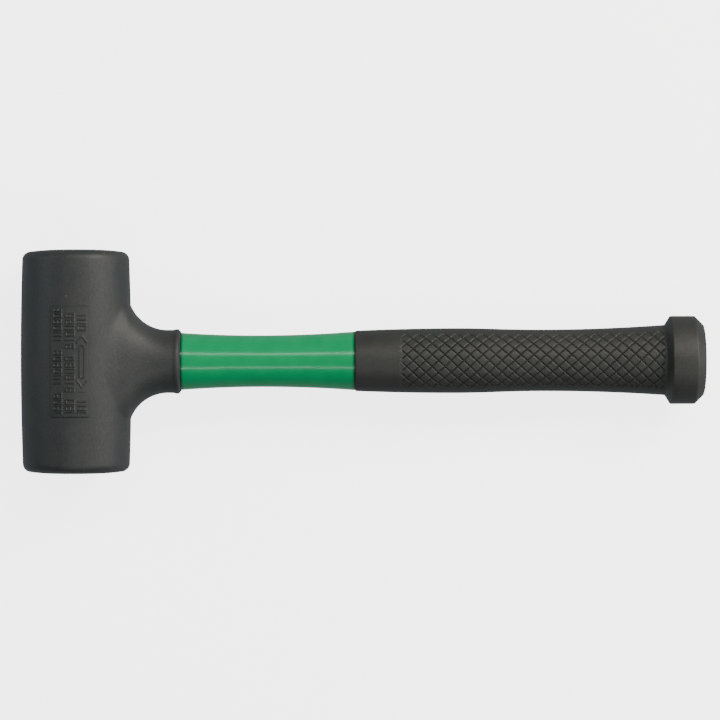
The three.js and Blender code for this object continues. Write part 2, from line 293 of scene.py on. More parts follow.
def resinAndFibre(name, look):
    # cured resin with glass in it: fibres drawn out along the handle where the stretch is large
    material, tree, shader = newMaterial(name, Roughness=look["roughness"], IOR=1.54)
    where = addNode(tree, "ShaderNodeTexCoord").outputs["Object"]
    along = addNode(tree, "ShaderNodeMapping", {"Vector": where}, Scale=(1 / look["stretch"], 1, 1))
    fibre = addNode(tree, "ShaderNodeTexNoise", {"Vector": along.outputs["Vector"]},
                    Scale=perMillimetre(look["fibre"]), Detail=3.0)
    tone = addNode(tree, "ShaderNodeValToRGB", {"Fac": fibre.outputs["Fac"]},
                   stops=((noiseLow, look["dark"]), (noiseHigh, look["light"])))
    tree.links.new(tone.outputs["Color"], shader.inputs["Base Color"])
    bump = addNode(tree, "ShaderNodeBump", {"Height": fibre.outputs["Fac"]},
                   Strength=0.3, Distance=look["depth"] * mm)
    tree.links.new(bump.outputs["Normal"], shader.inputs["Normal"])
    return material


# fibre is the pattern's size across the handle and depth how deep it is, in millimetres
glassFibre = resinAndFibre("glass fibre, pultruded", {
    "dark": "#c2b684", "light": "#ddd4ac", "roughness": 0.45,
    "fibre": 0.4, "stretch": 30, "depth": 0.08,
})
epoxy = resinAndFibre("epoxy adhesive, cured", {
    "dark": "#a87828", "light": "#c4953f", "roughness": 0.2,
    "fibre": 3.0, "stretch": 1, "depth": 0.08,
})
print("materials made")

head = {
    "endTaper": 0.95,        # how much slimmer the barrel is at each end
    "edgeRadius": 3.8,       # rounding round each striking face
    "edgeTurn": 84,          # degrees of that rounding, which the crown carries on
    "faceCrown": 0.7,        # how far a face stands out in the middle
    "faceFlat": 11.0,        # radius of a face's flat middle
    "holeHalfLength": 32.0,  # the part of the barrel that the neck's flare replaces
    "holeHalfAngle": 62.0,
    "holeRings": 14,         # rings of points from there to the crease
}
neck = {
    "reach": 47.6,           # from the head's axis to the lip's face
    "halfHeight": 14.3,
    "halfDepth": 13.27,
    "straight": 6.0,         # behind the lip, before the flare starts
    "filletRadius": 18.3,
    "arcTurn": 65,           # degrees of the fillet's arc before it eases off under the barrel
    "easeLength": 3.5,
    "runOut": 0.1,           # how deep under the barrel's skin the flare's depth runs out
    "squareness": 2.6,       # the flare's section is a superellipse of this power
    "lipRise": 0.35,
    "lipEdge": 1.1,          # bevel on the lip's outer edge
    "lipEdgeDrop": 1.0,
    "lipLength": 3.2,
    "lipSlope": 0.3,         # share of the lip's length in which it rises
    "lipHollow": 0.5,        # how far the lip's face would dip at the handle
    "boreStart": 0.4,        # how far behind the lip's face the bore starts
    "lipRoundings": (1.2, 0.5, 0.5, 0.1),
    "flareRings": 30,
    "creaseSoftness": 4,     # smoothing passes over the crease between flare and barrel
    "creaseReach": 3,        # rings on either side that they move
    "calmPasses": 60,
    "calmReach": 9,
    "calmWidth": 13.0,       # half width in which the crease is blended away
    "calmFade": 14.0,
}
label = {
    "width": 17.6,
    "length": 50.0,
    "rise": 0.4,
    "slope": 0.55,           # width of its sloping sides
    "offset": 0.8,           # towards the front of the head
    "relief": 0.4,           # height of the marks on its face
    "edge": 0.35,            # width of a mark's sloping edge
    "columns": (-5.3, 0.3, 5.5),
    "strides": (3, 5, 4),    # from one kind of mark to the next, by column
    "markHeight": 3.5,
    "markPitch": 2.75,
    "markInset": 0.55,       # from the end of a mark's pitch to its outline
    "stroke": 0.5,
    "margin": 1.4,           # left plain at either end
    "arrowRoom": 13.4,       # half the length that the last column keeps for the arrow
    "arrowTip": 11.6,
    "arrowBarb": (2.2, 8.4),
    "slotHalfLength": 6.2,
    "slotHalfWidth": 1.1,
    "rows": 25,              # steps of the barrel's grid along the label and round it, and the
    "turns": 10,             # finer steps of its face in each
    "fineRows": 10,
    "fineTurns": 9,
}
room = {
    "canister": 19.3,
    "canisterHalfLength": 40.5,
    "socket": 11.7,
    "socketStart": 5.0,
    "handle": (13.2, 12.17),
    "handleReach": 39.4,
    "handleMiddle": 43.0,
    "holeHalfLength": 20.0,  # the part of the canister's room that the socket's replaces
    "holeHalfAngle": 55.0,
    "holeRings": 4,
}
holeColumns = 40             # grid steps round the barrel across either of the two holes
sideColumns = 4              # and from the head's hole to the label


def barrelRadius(y):
    # the barrel is a shallow parabola, fullest in the middle
    return headRadius - head["endTaper"] * (2 * y / headLength) ** 2


def barrelOutline():
    # (radius, y) from the middle of one face, over its crown and rounded edge, along the barrel
    edgeY = headLength / 2 - head["faceCrown"] - head["edgeRadius"]
    edgeX = barrelRadius(edgeY) - head["edgeRadius"]
    half = label["length"] / 2
    side = np.concatenate([
        np.linspace(half, head["holeHalfLength"], 5)[1:],
        np.linspace(head["holeHalfLength"], edgeY, 9)[1:],
    ])
    turn = np.radians(np.linspace(0, head["edgeTurn"], 9)[1:])
    arc = np.stack([edgeX + head["edgeRadius"] * np.cos(turn),
                    edgeY + head["edgeRadius"] * np.sin(turn)], axis=1)
    # the crown is a parabola from the rounding's end to the flat
    r = np.linspace(arc[-1, 0], head["faceFlat"], 6)[1:]
    share = (r - head["faceFlat"]) / (arc[-1, 0] - head["faceFlat"])
    rise = headLength / 2 - arc[-1, 1]
    crown = np.stack([r, headLength / 2 - rise * share**2], axis=1)
    flat = np.linspace(head["faceFlat"], 0, 5)[1:]
    disc = np.stack([flat, np.full(len(flat), headLength / 2)], axis=1)
    upper = np.concatenate([np.stack([barrelRadius(side), side], axis=1), arc, crown, disc])
    middleY = np.linspace(-half, half, label["rows"] + 1)
    middle = np.stack([barrelRadius(middleY), middleY], axis=1)
    return np.concatenate([upper[::-1] * [1, -1], middle, upper])


def canisterOutline():
    # (radius, y) of the plain cylinder that the canister fits, ends included
    half, holeY = room["canisterHalfLength"], room["holeHalfLength"]
    side = np.concatenate([np.linspace(-half, -holeY, 6), np.linspace(-holeY, holeY, 34)[1:-1],
                           np.linspace(holeY, half, 6)])
    body = np.stack([np.full(len(side), room["canister"]), side], axis=1)
    r = np.linspace(0, room["canister"], 4)[:-1]
    end = np.stack([r, np.full(len(r), half)], axis=1)
    return np.concatenate([end * [1, -1], body, end[::-1]])


def superellipse(angle, halfHeight, halfDepth, power):
    # a closed section across the handle, by the direction of each point from its middle
    c, s = np.cos(angle), np.sin(angle)
    size = (np.abs(c) ** power + np.abs(s) ** power) ** (-1 / power)
    return halfHeight * size * c, halfDepth * size * s


# seen along the head, the flare is one arc, which starts straight and touches a circle just under
# the barrel's skin from outside
flareStart = neck["reach"] - neck["straight"]
flareTarget = headRadius - neck["runOut"]
flareRadius = (flareStart**2 + neck["halfDepth"] ** 2 - flareTarget**2) / (
    2 * (flareTarget - neck["halfDepth"]))
flareEnd = flareStart * flareTarget / (flareTarget + flareRadius)


def filletRise(away):
    # an arc up to its turn, and from there a rise that dies out exponentially from the same slope
    radius, turn = neck["filletRadius"], math.radians(neck["arcTurn"])
    onArc = np.minimum(away, radius * math.sin(turn))
    beyond = (away - onArc) / neck["easeLength"]
    ease = math.tan(turn) * neck["easeLength"] * (1 - np.exp(-beyond))
    return radius - np.sqrt(radius**2 - onArc**2) + ease


def flareSection(reach, angle):
    # the neck's section: one arc widens it across the head, a gentler one along the head runs out
    # on the barrel, and its corners get squarer on the way
    away = np.clip(flareStart - reach, 0, flareStart - flareEnd)
    halfHeight = neck["halfHeight"] + filletRise(away)
    halfDepth = neck["halfDepth"] + flareRadius - np.sqrt(flareRadius**2 - away**2)
    power = 2 + (neck["squareness"] - 2) * smoothStep(away / neck["filletRadius"])
    return superellipse(angle, halfHeight, halfDepth, power)


def socketSection(reach, angle):
    # round, and the same at every reach
    return superellipse(angle, room["socket"], room["socket"], 2.0 + 0 * reach)


slack = 1e-6             # millimetres: too small to matter
ringCrowding = 1.8       # how much closer the rings stand towards the crease
flareCrowding = 1.6


def teeSkin(outline, holeY, holeAngle, otherAngles, section, radiusAt, low, high, rings):
    # a barrel turned about Y with a branch along +X: the barrel is a grid of outline by angle with
    # a rectangle left out, and rings of points shrink from the rectangle to the crease, where the
    # branch's section meets the barrel; gives the grid's points, its quads and which of them are in
    # the rectangle, the rings, and the crease's reach and direction at each of a ring's points
    inside = np.radians(np.linspace(-holeAngle, holeAngle, holeColumns + 1))
    angles = np.concatenate([inside, np.radians(otherAngles)])
    r, y = outline[:, :1], outline[:, 1:]
    points = np.stack([r * np.cos(angles), y + 0 * angles, r * np.sin(angles)], axis=-1)
    quads = gridQuads(len(outline), len(angles), closed=True)
    rowInHole = (outline[:-1, 1] > -holeY - slack) & (outline[1:, 1] < holeY + slack)
    inHole = rowInHole[:, None] & (np.arange(len(angles)) < holeColumns)[None, :]
    # once round the rectangle's edge
    yLines = outline[np.abs(outline[:, 1]) < holeY + slack, 1]
    edgeY = np.concatenate([np.full(holeColumns, yLines[-1]), yLines[:0:-1],
                            np.full(holeColumns, yLines[0]), yLines[:-1]])
    edgeAngle = np.concatenate([inside[:-1], np.full(len(yLines) - 1, inside[-1]), inside[:0:-1],
                                np.full(len(yLines) - 1, inside[0])])
    # the crease, found by halving, at the same directions from the branch's axis as the rectangle
    dense = np.linspace(-math.pi, math.pi, 4 * 360 + 1)
    reach = creaseReach(dense, section, radiusAt, low, high)
    sy, sz = section(reach, dense)
    heading = np.unwrap(np.arctan2(np.arctan2(sz, reach) * headRadius, sy))
    wanted = np.arctan2(edgeAngle * headRadius, edgeY)
    branchAngle = np.interp(wanted, heading, dense)
    crease = creaseReach(branchAngle, section, radiusAt, low, high)
    sy, sz = section(crease, branchAngle)
    share = (1 - (1 - np.linspace(0, 1, rings + 1)) ** ringCrowding)[:, None]
    ringY = edgeY * (1 - share) + sy * share
    ringAngle = edgeAngle * (1 - share) + np.arctan2(sz, crease) * share
    ringR = radiusAt(ringY)
    spread = np.stack([ringR * np.cos(ringAngle), ringY, ringR * np.sin(ringAngle)], axis=-1)
    return points, quads, inHole, spread, crease, branchAngle


halvings = 40


def creaseReach(angle, section, radiusAt, low, high):
    # how far along X the branch's skin leaves the barrel, by halving the stretch again and again
    near, far = np.full(angle.shape, low, float), np.full(angle.shape, high, float)
    for _ in range(halvings):
        middle = (near + far) / 2
        y, z = section(middle, angle)
        inside = np.hypot(middle, z) < radiusAt(y)
        near, far = np.where(inside, middle, near), np.where(inside, far, middle)
    return (near + far) / 2


def ovalRings(stations, angle):
    # one ring of points for each (reach, half height, half depth)
    rows = []
    for reach, halfHeight, halfDepth in stations:
        y, z = superellipse(angle, halfHeight, halfDepth, 2.0)
        rows.append(np.stack([np.full(len(angle), reach), y, z], axis=-1))
    return np.array(rows)


def boxDistance(x, y, halfX, halfY):
    # distance outside a box in the middle, negative inside
    return np.maximum(np.abs(x) - halfX, np.abs(y) - halfY)


def lineDistance(x, y, start, end):
    # distance from the line between two points
    ax, ay = end[0] - start[0], end[1] - start[1]
    share = np.clip(((x - start[0]) * ax + (y - start[1]) * ay) / (ax**2 + ay**2), 0, 1)
    return np.hypot(x - start[0] - share * ax, y - start[1] - share * ay)


def labelRelief(x, y):
    # raised marks on the panel's face: plain tally blocks in three columns, and between two groups
    # of them a two-headed arrow whose shaft is a long slot's outline
    height = np.zeros(np.broadcast(x, y).shape)

    def lift(distance):
        np.maximum(height, np.clip(0.5 - distance / label["edge"], 0, 1), out=height)

    half, stroke = label["markHeight"] / 2, label["stroke"] / 2
    step = np.floor(y / label["markPitch"])
    along = y - (step + 0.5) * label["markPitch"]
    wide = label["markPitch"] / 2 - label["markInset"]
    lastColumn = len(label["columns"]) - 1
    for column, (middle, stride) in enumerate(zip(label["columns"], label["strides"])):
        across = x - middle
        # of seven kinds two are an outline, one a bar, two an outline with a rail, one a pair of
        # bars and one is blank
        kind = np.mod(step * stride + column, 7)
        shown = (kind < 6) & (np.abs(y) < label["length"] / 2 - label["margin"])
        if column == lastColumn:
            shown = shown & (np.abs(y) > label["arrowRoom"])
        outline = np.abs(boxDistance(across, along, half, wide)) - stroke
        bar = boxDistance(across, along, half + stroke, stroke)
        pair = boxDistance(across, np.abs(along) - wide, half + stroke, stroke)
        rail = boxDistance(across, along, stroke, wide + stroke)
        mark = np.select([kind < 2, kind < 3, kind < 5],
                         [outline, bar, np.minimum(outline, rail)], pair)
        lift(np.where(shown, mark, label["edge"]))
    x = x - label["columns"][lastColumn]
    y = np.abs(y)
    slot = lineDistance(x, y, (0, 0), (0, label["slotHalfLength"]))
    lift(np.abs(slot - label["slotHalfWidth"]) - stroke)
    barbX, barbY = label["arrowBarb"]
    for side in (-1, 1):
        lift(lineDistance(x, y, (0, label["arrowTip"]), (side * barbX, barbY)) - stroke)
    return height * label["relief"]


def headSkin():
    # the barrel with its label, the flared neck, and the rooms inside, as patches with shared edges
    holeAngle = head["holeHalfAngle"]
    labelLow = math.degrees(math.acos((label["width"] / 2 - label["offset"]) / headRadius))
    labelHigh = math.degrees(math.acos(-(label["width"] / 2 + label["offset"]) / headRadius))
    others = np.concatenate([
        np.linspace(holeAngle, labelLow, sideColumns + 1)[1:],
        np.linspace(labelLow, labelHigh, label["turns"] + 1)[1:],
        np.linspace(labelHigh, 360 - holeAngle, 61)[1:-1],
    ])
    outline = barrelOutline()
    points, quads, inHole, spread, crease, branch = teeSkin(
        outline, head["holeHalfLength"], holeAngle, others, flareSection, barrelRadius,
        flareEnd, flareStart, head["holeRings"])
    # the label's face, on a finer grid, and its sloping sides, which fan out from the barrel's
    # points to the face's
    rows = np.flatnonzero(np.abs(outline[:, 1]) < label["length"] / 2 + slack)
    firstColumn = holeColumns + sideColumns
    lastColumn = firstColumn + label["turns"]
    inLabel = np.zeros(quads.shape[:2], bool)
    inLabel[rows[0]:rows[-1], firstColumn:lastColumn] = True
    barrelPatch = (points.reshape(-1, 3), quads[~inHole & ~inLabel])
    endY = label["length"] / 2 - label["slope"]
    slopeAngle = math.degrees(label["slope"] / headRadius)
    fineY = np.linspace(-endY, endY, label["rows"] * label["fineRows"] + 1)[:, None]
    fineAngle = np.radians(np.linspace(labelLow + slopeAngle, labelHigh - slopeAngle,
                                       label["turns"] * label["fineTurns"] + 1))[None, :]
    x = (math.pi / 2 - fineAngle) * headRadius + label["offset"]
    raised = barrelRadius(fineY) + label["rise"] + labelRelief(x, fineY)
    face = np.stack([raised * np.cos(fineAngle), fineY + 0 * fineAngle,
                     raised * np.sin(fineAngle)], axis=-1)
    facePatch = (face.reshape(-1, 3), gridQuads(*face.shape[:2]).reshape(-1, 4))
    top = points[rows[0]:rows[-1] + 1, firstColumn:lastColumn + 1]
    patches = [barrelPatch, facePatch]
    for coarse, fine, step in (
        (top[0], face[0], label["fineTurns"]), (top[-1], face[-1], label["fineTurns"]),
        (top[:, 0], face[:, 0], label["fineRows"]), (top[:, -1], face[:, -1], label["fineRows"]),
    ):
        wallPoints = np.concatenate([coarse, fine])
        edge = np.arange(len(coarse) - 1)[:, None]
        under = len(coarse) + edge * step + np.arange(step + 1)[None, ::-1]
        patches.append((wallPoints, np.concatenate([edge, edge + 1, under], axis=1)))
    # neck: from the crease to the lip, round it, down the bore and into the canister's room
    share = (np.linspace(0, 1, neck["flareRings"] + 1) ** flareCrowding)[1:, None]
    reach = crease * (1 - share) + flareStart * share
    y, z = flareSection(reach, branch)
    flare = np.stack([reach, y, z], axis=-1)
    a, b, rise, end = neck["halfHeight"], neck["halfDepth"], neck["lipRise"], neck["reach"]
    boreHeight, boreDepth = room["handle"]
    lip = roundedPath(
        [(flareStart, 0), (end - neck["lipLength"], 0),
         (end - (1 - neck["lipSlope"]) * neck["lipLength"], rise), (end - neck["lipEdge"], rise),
         (end, -neck["lipEdgeDrop"]), (end - neck["lipHollow"], boreHeight - a)],
        neck["lipRoundings"])
    lipStations = [(s, a + up, b + up) for s, up in lip[1:-1]]
    bore = [(s, boreHeight, boreDepth)
            for s in (end - neck["boreStart"], room["handleMiddle"], room["handleReach"])]
    # the canister's room and the socket's, seen from inside
    innerAngle = room["holeHalfAngle"]
    innerOthers = np.linspace(innerAngle, 360 - innerAngle, 51)[1:-1]
    innerPoints, innerQuads, innerHole, innerSpread, innerCrease, innerBranch = teeSkin(
        canisterOutline(), room["holeHalfLength"], innerAngle, innerOthers, socketSection,
        lambda y: room["canister"] + 0 * y, room["socketStart"], room["handleReach"],
        room["holeRings"])
    share = np.linspace(0, 1, 6)[:, None]
    reach = room["handleReach"] * (1 - share) + innerCrease * share
    y, z = socketSection(reach, innerBranch)
    socket = np.stack([reach, y, z], axis=-1)
    outer = np.concatenate([spread, flare])
    # the crease is crisp beside the head's silhouette and dies out towards the middle
    calm = 1 - smoothStep((np.abs(spread[-1, :, 1]) - neck["calmWidth"]) / neck["calmFade"])
    for reachOut, passes, share in (
        (neck["creaseReach"], neck["creaseSoftness"], 1),
        (neck["calmReach"], neck["calmPasses"], calm[None, :, None]),
    ):
        first, last = len(spread) - reachOut, len(spread) + reachOut
        for _ in range(passes):
            before, here, after = (outer[first + step:last + step] for step in (-1, 0, 1))
            outer[first:last] = here + share * (0.25 * (before + after) - 0.5 * here)
    lipAndBore = ovalRings(lipStations + bore, branch)
    rings = np.concatenate([outer, lipAndBore, socket, innerSpread[::-1]])
    patches.append(ringPatch(rings))
    patches.append((innerPoints.reshape(-1, 3), innerQuads[~innerHole]))
    return patches


addPiece("head_rubber_skin", headSkin(), headRubber, "mallet", ["head_jacket"])

jacket = {
    "start": 39.7,           # inside the neck
    "headRadius": 12.9,
    "waistRadius": 11.63,
    "waistReach": 83.2,
    "gripRadius": 13.25,
    "spigotRadius": 11.0,    # under the grip
    "shoulderEdge": 0.12,    # bevel where the jacket meets the grip
    "coreRadius": 8.3,
    "headChamfer": 0.3,      # on the end inside the neck
    "spigotStart": 130,
    "end": 276.9,
    "ovalRatio": 0.92,       # depth over height of every section
    "partingLine": 0.05,     # height of the moulding's seam along both sides
    "partingSharpness": 24,  # the radius over the seam's half width
    "columns": 120,
    "shownRings": 60,
}
grip = {
    "start": 126.25,
    "frontRadius": 13.7,
    "frontEdge": 0.7,           # rounding of the front edge
    "frontRun": 3.0,            # the stretch behind it, and how much lower that starts
    "frontDraft": 0.02,
    "frontInner": 11.5,         # half height where the front face starts
    "swellRadius": 14.7,
    "swellReach": 172.0,
    "waistRadius": 13.95,
    "waistReach": 210.0,
    "backRadius": 15.95,
    "backReach": 266.3,
    "textureStart": 147.2,
    "textureEnd": 265.4,
    "textureHalfAngle": 56.0,   # from the upper or lower side's middle
    "pitch": 5.7,               # between grooves, along the handle
    "cells": 16,                # grid steps to a pitch
    "firstCell": 2,             # where in a pitch the texture starts
    "grooveDepth": 0.5,
    "grooveHalfWidth": 1.25,    # in grid steps, as the next two are
    "pitInset": 2.2,
    "pitRadius": 2.0,
    "pitDepth": 0.8,
    "padCrown": 0.1,
    "bandColumns": 15,          # grid columns over either plain side
    "clearance": 0.3,           # between the bore and the jacket's spigot
    "boreRings": (230, 180),
}
butt = {
    "coneLength": 2.5,
    "radius": 19.95,
    "rimLength": 11.0,
    "chamfer": 4.1,
    "roundings": (0.7, 0.5, 0.6, 0.6),  # at the cone's two ends and the chamfer's two
    "boreEnd": 277.2,
}


def jacketHalfHeight(reach):
    # two parabolas that meet at the waist
    toHead = (jacket["waistReach"] - reach) / (jacket["waistReach"] - neck["reach"])
    toGrip = (reach - jacket["waistReach"]) / (grip["start"] - jacket["waistReach"])
    return jacket["waistRadius"] + np.where(
        reach < jacket["waistReach"],
        (jacket["headRadius"] - jacket["waistRadius"]) * toHead**2,
        (jacket["gripRadius"] - jacket["waistRadius"]) * toGrip**2)


def jacketSkin():
    # oval rings from the end inside the neck along the outside to the far end, and round ones back
    # through the core's bore; the seam is a bell curve across either side
    angle = np.linspace(0, 2 * math.pi, jacket["columns"] + 1)[:-1]
    start, chamfer, core = jacket["start"], jacket["headChamfer"], jacket["coreRadius"]
    shown = np.linspace(neck["reach"], grip["start"] - jacket["shoulderEdge"], jacket["shownRings"])
    shoulder = jacketHalfHeight(shown)[-1]
    hidden = [(start, jacket["headRadius"] - chamfer), (start + chamfer, jacket["headRadius"])]
    outline = hidden + list(zip(shown, jacketHalfHeight(shown)))
    outline += [(grip["start"], shoulder - jacket["shoulderEdge"]),
                (grip["start"], jacket["spigotRadius"])]
    outline += [(s, jacket["spigotRadius"])
                for s in np.linspace(jacket["spigotStart"], jacket["end"], 12)]
    stations = [(start, core, core)]
    stations += [(s, r, r * jacket["ovalRatio"]) for s, r in outline]
    stations += [(s, core, core) for s in np.linspace(jacket["end"], start, 24)]
    rings = ovalRings(stations, angle)
    seam = jacket["partingLine"] * np.exp(-((np.sin(angle) * jacket["partingSharpness"]) ** 2))
    firstShown = 1 + len(hidden)
    rings[firstShown:firstShown + len(shown), :, 1] += seam * np.sign(np.cos(angle))
    return [ringPatch(rings)]


greenPlastic = {
    # the near-black end colour is painted shade for the joints against the rubber
    "dark": "#009257", "light": "#00985b", "paintedJointShade": "#031a10",
    "roughness": (0.17, 0.24), "shine": 0.34,
    "wave": 7.0,             # millimetres from one wave of the gloss to the next
    "waveDepth": 0.3,
    "fine": 0.6,             # millimetres across a patch of one roughness
    "paintedJointShadeWidth": 1.3,       # width of the painted shade at either end of the part that shows
}


def glossPolypropylene(look):
    # coloured polypropylene from a polished mould: a clear, slightly wavy gloss over even colour,
    # with painted shade at both ends where it meets the rubber
    material, tree, shader = newMaterial("polypropylene, gloss moulded", IOR=1.49,
                                         Specular_IOR_Level=look["shine"])
    where = addNode(tree, "ShaderNodeTexCoord").outputs["Object"]
    wave = addNode(tree, "ShaderNodeTexNoise", {"Vector": where},
                   Scale=perMillimetre(look["wave"]), Detail=1.0)
    fine = addNode(tree, "ShaderNodeTexNoise", {"Vector": where},
                   Scale=perMillimetre(look["fine"]), Detail=2.0)
    base = addNode(tree, "ShaderNodeValToRGB", {"Fac": wave.outputs["Fac"]},
                   stops=((noiseLow, look["dark"]), (noiseHigh, look["light"])))
    # painted shade in the corner against the rubber at both ends, by the distance from the middle
    along = addNode(tree, "ShaderNodeVectorMath", {0: where}, operation="DOT_PRODUCT")
    along.inputs[1].default_value = handleAxis.tolist()
    middle = np.dot(headCentre, handleAxis) + (neck["reach"] + grip["start"]) / 2 * mm
    halfShown = (grip["start"] - neck["reach"]) / 2 * mm
    fromMiddle = addNode(tree, "ShaderNodeMath", {0: along.outputs["Value"]}, operation="SUBTRACT")
    fromMiddle.inputs[1].default_value = middle
    away = addNode(tree, "ShaderNodeMath", {0: fromMiddle.outputs["Value"]}, operation="ABSOLUTE")
    paintedJointShade = addNode(tree, "ShaderNodeMapRange", {"Value": away.outputs["Value"]},
                    From_Min=halfShown - look["paintedJointShadeWidth"] * mm, From_Max=halfShown,
                    To_Min=0.0, To_Max=1.0)
    colour = addNode(tree, "ShaderNodeMix",
                     {"Factor": paintedJointShade.outputs["Result"], "A": base.outputs["Color"]},
                     data_type="RGBA", B=rgb(look["paintedJointShade"]))
    tree.links.new(colour.outputs["Result"], shader.inputs["Base Color"])
    rough = addNode(tree, "ShaderNodeMapRange", {"Value": fine.outputs["Fac"]},
                    From_Min=noiseLow, From_Max=noiseHigh,
                    To_Min=look["roughness"][0], To_Max=look["roughness"][1])
    tree.links.new(rough.outputs["Result"], shader.inputs["Roughness"])
    bump = addNode(tree, "ShaderNodeBump", {"Height": wave.outputs["Fac"]},
                   Strength=0.15, Distance=look["waveDepth"] * mm)
    tree.links.new(bump.outputs["Normal"], shader.inputs["Normal"])
    return material


addPiece("handle_jacket_skin", jacketSkin(), glossPolypropylene(greenPlastic), "mallet",
         ["handle_jacket"])


def gripHalfHeight(reach):
    # a parabola up to the swell, half a cosine wave down to the waist, and a parabola to the butt
    g = grip
    front = (g["swellReach"] - reach) / (g["swellReach"] - g["start"])
    down = (reach - g["swellReach"]) / (g["waistReach"] - g["swellReach"])
    back = (reach - g["waistReach"]) / (g["backReach"] - g["waistReach"])
    wave = (1 + np.cos(math.pi * down)) / 2
    return np.select(
        [reach < g["swellReach"], reach < g["waistReach"]],
        [g["swellRadius"] + (g["frontRadius"] - g["swellRadius"]) * front**2,
         g["waistRadius"] + (g["swellRadius"] - g["waistRadius"]) * wave],
        g["waistRadius"] + (g["backRadius"] - g["waistRadius"]) * back**2)


def gripAngles():
    # directions round the grip: fine and even along the arc over both grooved sides, coarse between
    half = math.radians(grip["textureHalfAngle"])
    step = grip["pitch"] / grip["cells"]
    dense = np.linspace(-half, half, 2001)
    middle = grip["swellRadius"]
    speed = np.hypot(middle * np.cos(dense), middle * jacket["ovalRatio"] * np.sin(dense))
    arc = np.concatenate([[0], np.cumsum((speed[1:] + speed[:-1]) / 2 * (dense[1] - dense[0]))])
    cells = 2 * round(arc[-1] / step / 2)
    panel = np.interp(np.linspace(0, arc[-1], cells + 1), arc, dense)
    band = np.linspace(half, math.pi - half, grip["bandColumns"] + 2)[1:-1]
    return np.concatenate([panel, band, panel + math.pi, band + math.pi]), cells


def grooveDistance(cell):
    # grid steps to the nearest groove of one family
    pitchCells = grip["cells"]
    return np.abs(np.mod(cell + grip["firstCell"] + pitchCells / 2, pitchCells) - pitchCells / 2)


def gripSkin():
    # rings from the bore's blind end to the front, round it and back over the outside to the middle
    # of the butt's end
    angle, cells = gripAngles()
    step = grip["pitch"] / grip["cells"]
    rows = round((grip["textureEnd"] - grip["textureStart"]) / step)
    textured = grip["textureStart"] + step * np.arange(rows + 1)
    front = grip["start"]
    ends = np.array([front, front + grip["frontRun"]])
    edgeHeight, runHeight = gripHalfHeight(ends)
    edge = roundedPath(
        [(front, grip["frontInner"]), (front, edgeHeight - grip["frontDraft"]),
         (ends[1], runHeight)],
        [grip["frontEdge"]])
    plain = np.linspace(ends[1], grip["textureStart"], 14)[1:-1]
    body = np.concatenate([plain, textured])
    buttStart = grip["backReach"] + butt["coneLength"]
    rimEnd = buttStart + butt["rimLength"]
    endRadius = butt["radius"] - butt["chamfer"]
    flange = roundedPath(
        [(textured[-1], gripHalfHeight(textured[-1:])[0]), (grip["backReach"], grip["backRadius"]),
         (buttStart, butt["radius"]), (rimEnd, butt["radius"]), (buttEnd, endRadius), (buttEnd, 0)],
        butt["roundings"])
    profile = np.concatenate([edge, np.stack([body, gripHalfHeight(body)], axis=1), flange[1:]])
    ratio = jacket["ovalRatio"] + (1 - jacket["ovalRatio"]) * smoothStep(
        (profile[:, 0] - grip["backReach"]) / butt["coneLength"])
    reach, halfHeight = profile[:, :1], profile[:, 1:]
    halfDepth = halfHeight * ratio[:, None]
    # grooves: two families at 45 degrees on a grid whose steps divide the pitch, so each groove's
    # bottom runs through grid points; between them the pads are slightly crowned
    sink = np.zeros((len(profile), len(angle)))
    firstRow = len(edge) + len(plain)
    i = np.arange(rows + 1)[:, None]
    j = np.arange(cells + 1)[None, :] - cells // 2
    forward, backward = grooveDistance(i - j), grooveDistance(i + j)
    near = np.minimum(forward, backward)
    depth = grip["grooveDepth"] * np.clip(1 - near / grip["grooveHalfWidth"], 0, 1)
    depth = depth + grip["padCrown"] * (1 - smoothStep(near / (grip["cells"] / 4)))
    # a small pit where each groove of one family reaches the panel's edge
    side = np.where(j > 0, forward, backward)
    fromEdge = cells // 2 - grip["pitInset"] - np.abs(j)
    pit = np.clip(1 - np.hypot(side, fromEdge) / grip["pitRadius"], 0, 1)
    depth = np.maximum(depth, grip["pitDepth"] * smoothStep(2 * pit))
    border = (i == 0) | (i == rows) | (np.abs(j) == cells // 2)
    depth = np.where(border, 0, depth)
    secondPanel = cells + 1 + grip["bandColumns"]
    for start in (0, secondPanel):
        sink[firstRow:firstRow + rows + 1, start:start + cells + 1] = depth
    # each point sinks along the section's normal there
    s, c = np.sin(angle)[None, :], np.cos(angle)[None, :]
    slope = np.maximum(np.hypot(halfDepth * s, halfHeight * c), slack)
    y = halfHeight * s - sink * halfDepth * s / slope
    z = halfDepth * c - sink * halfHeight * c / slope
    outer = np.stack([reach + 0 * angle, y, z], axis=-1)
    boreHeight = jacket["spigotRadius"] + grip["clearance"]
    boreDepth = jacket["spigotRadius"] * jacket["ovalRatio"] + grip["clearance"]
    share = np.array([0, 0.5, 1, 1, 1, 1])[:, None]
    where = np.array([butt["boreEnd"]] * 3 + [*grip["boreRings"], front])[:, None]
    bore = np.stack([where + 0 * angle, boreHeight * share * s, boreDepth * share * c], axis=-1)
    rings = np.concatenate([bore, outer])
    points, quads = ringPatch(rings)
    quads = quads.reshape(len(rings) - 1, len(angle), 4)
    # the grooved cells are cut along whichever groove family is nearer
    i, j = i[:-1], j[:, :-1]
    forward, backward = grooveDistance(i - j), grooveDistance(i + j + 1)
    isForward = forward <= backward
    grooved = np.zeros(quads.shape[:2], bool)
    triangles = []
    top = len(bore) + firstRow
    for start in (0, secondPanel):
        block = quads[top:top + rows, start:start + cells]
        grooved[top:top + rows, start:start + cells] = True
        one, other = block[isForward], block[~isForward]
        triangles += [one[:, [0, 1, 2]], one[:, [0, 2, 3]]]
        triangles += [other[:, [0, 1, 3]], other[:, [1, 2, 3]]]
    return [(points, [quads[~grooved], np.concatenate(triangles)])]


addPiece("handle_grip_skin", gripSkin(), gripRubber, "mallet", ["handle_grip"],
         sharpAngle=50)

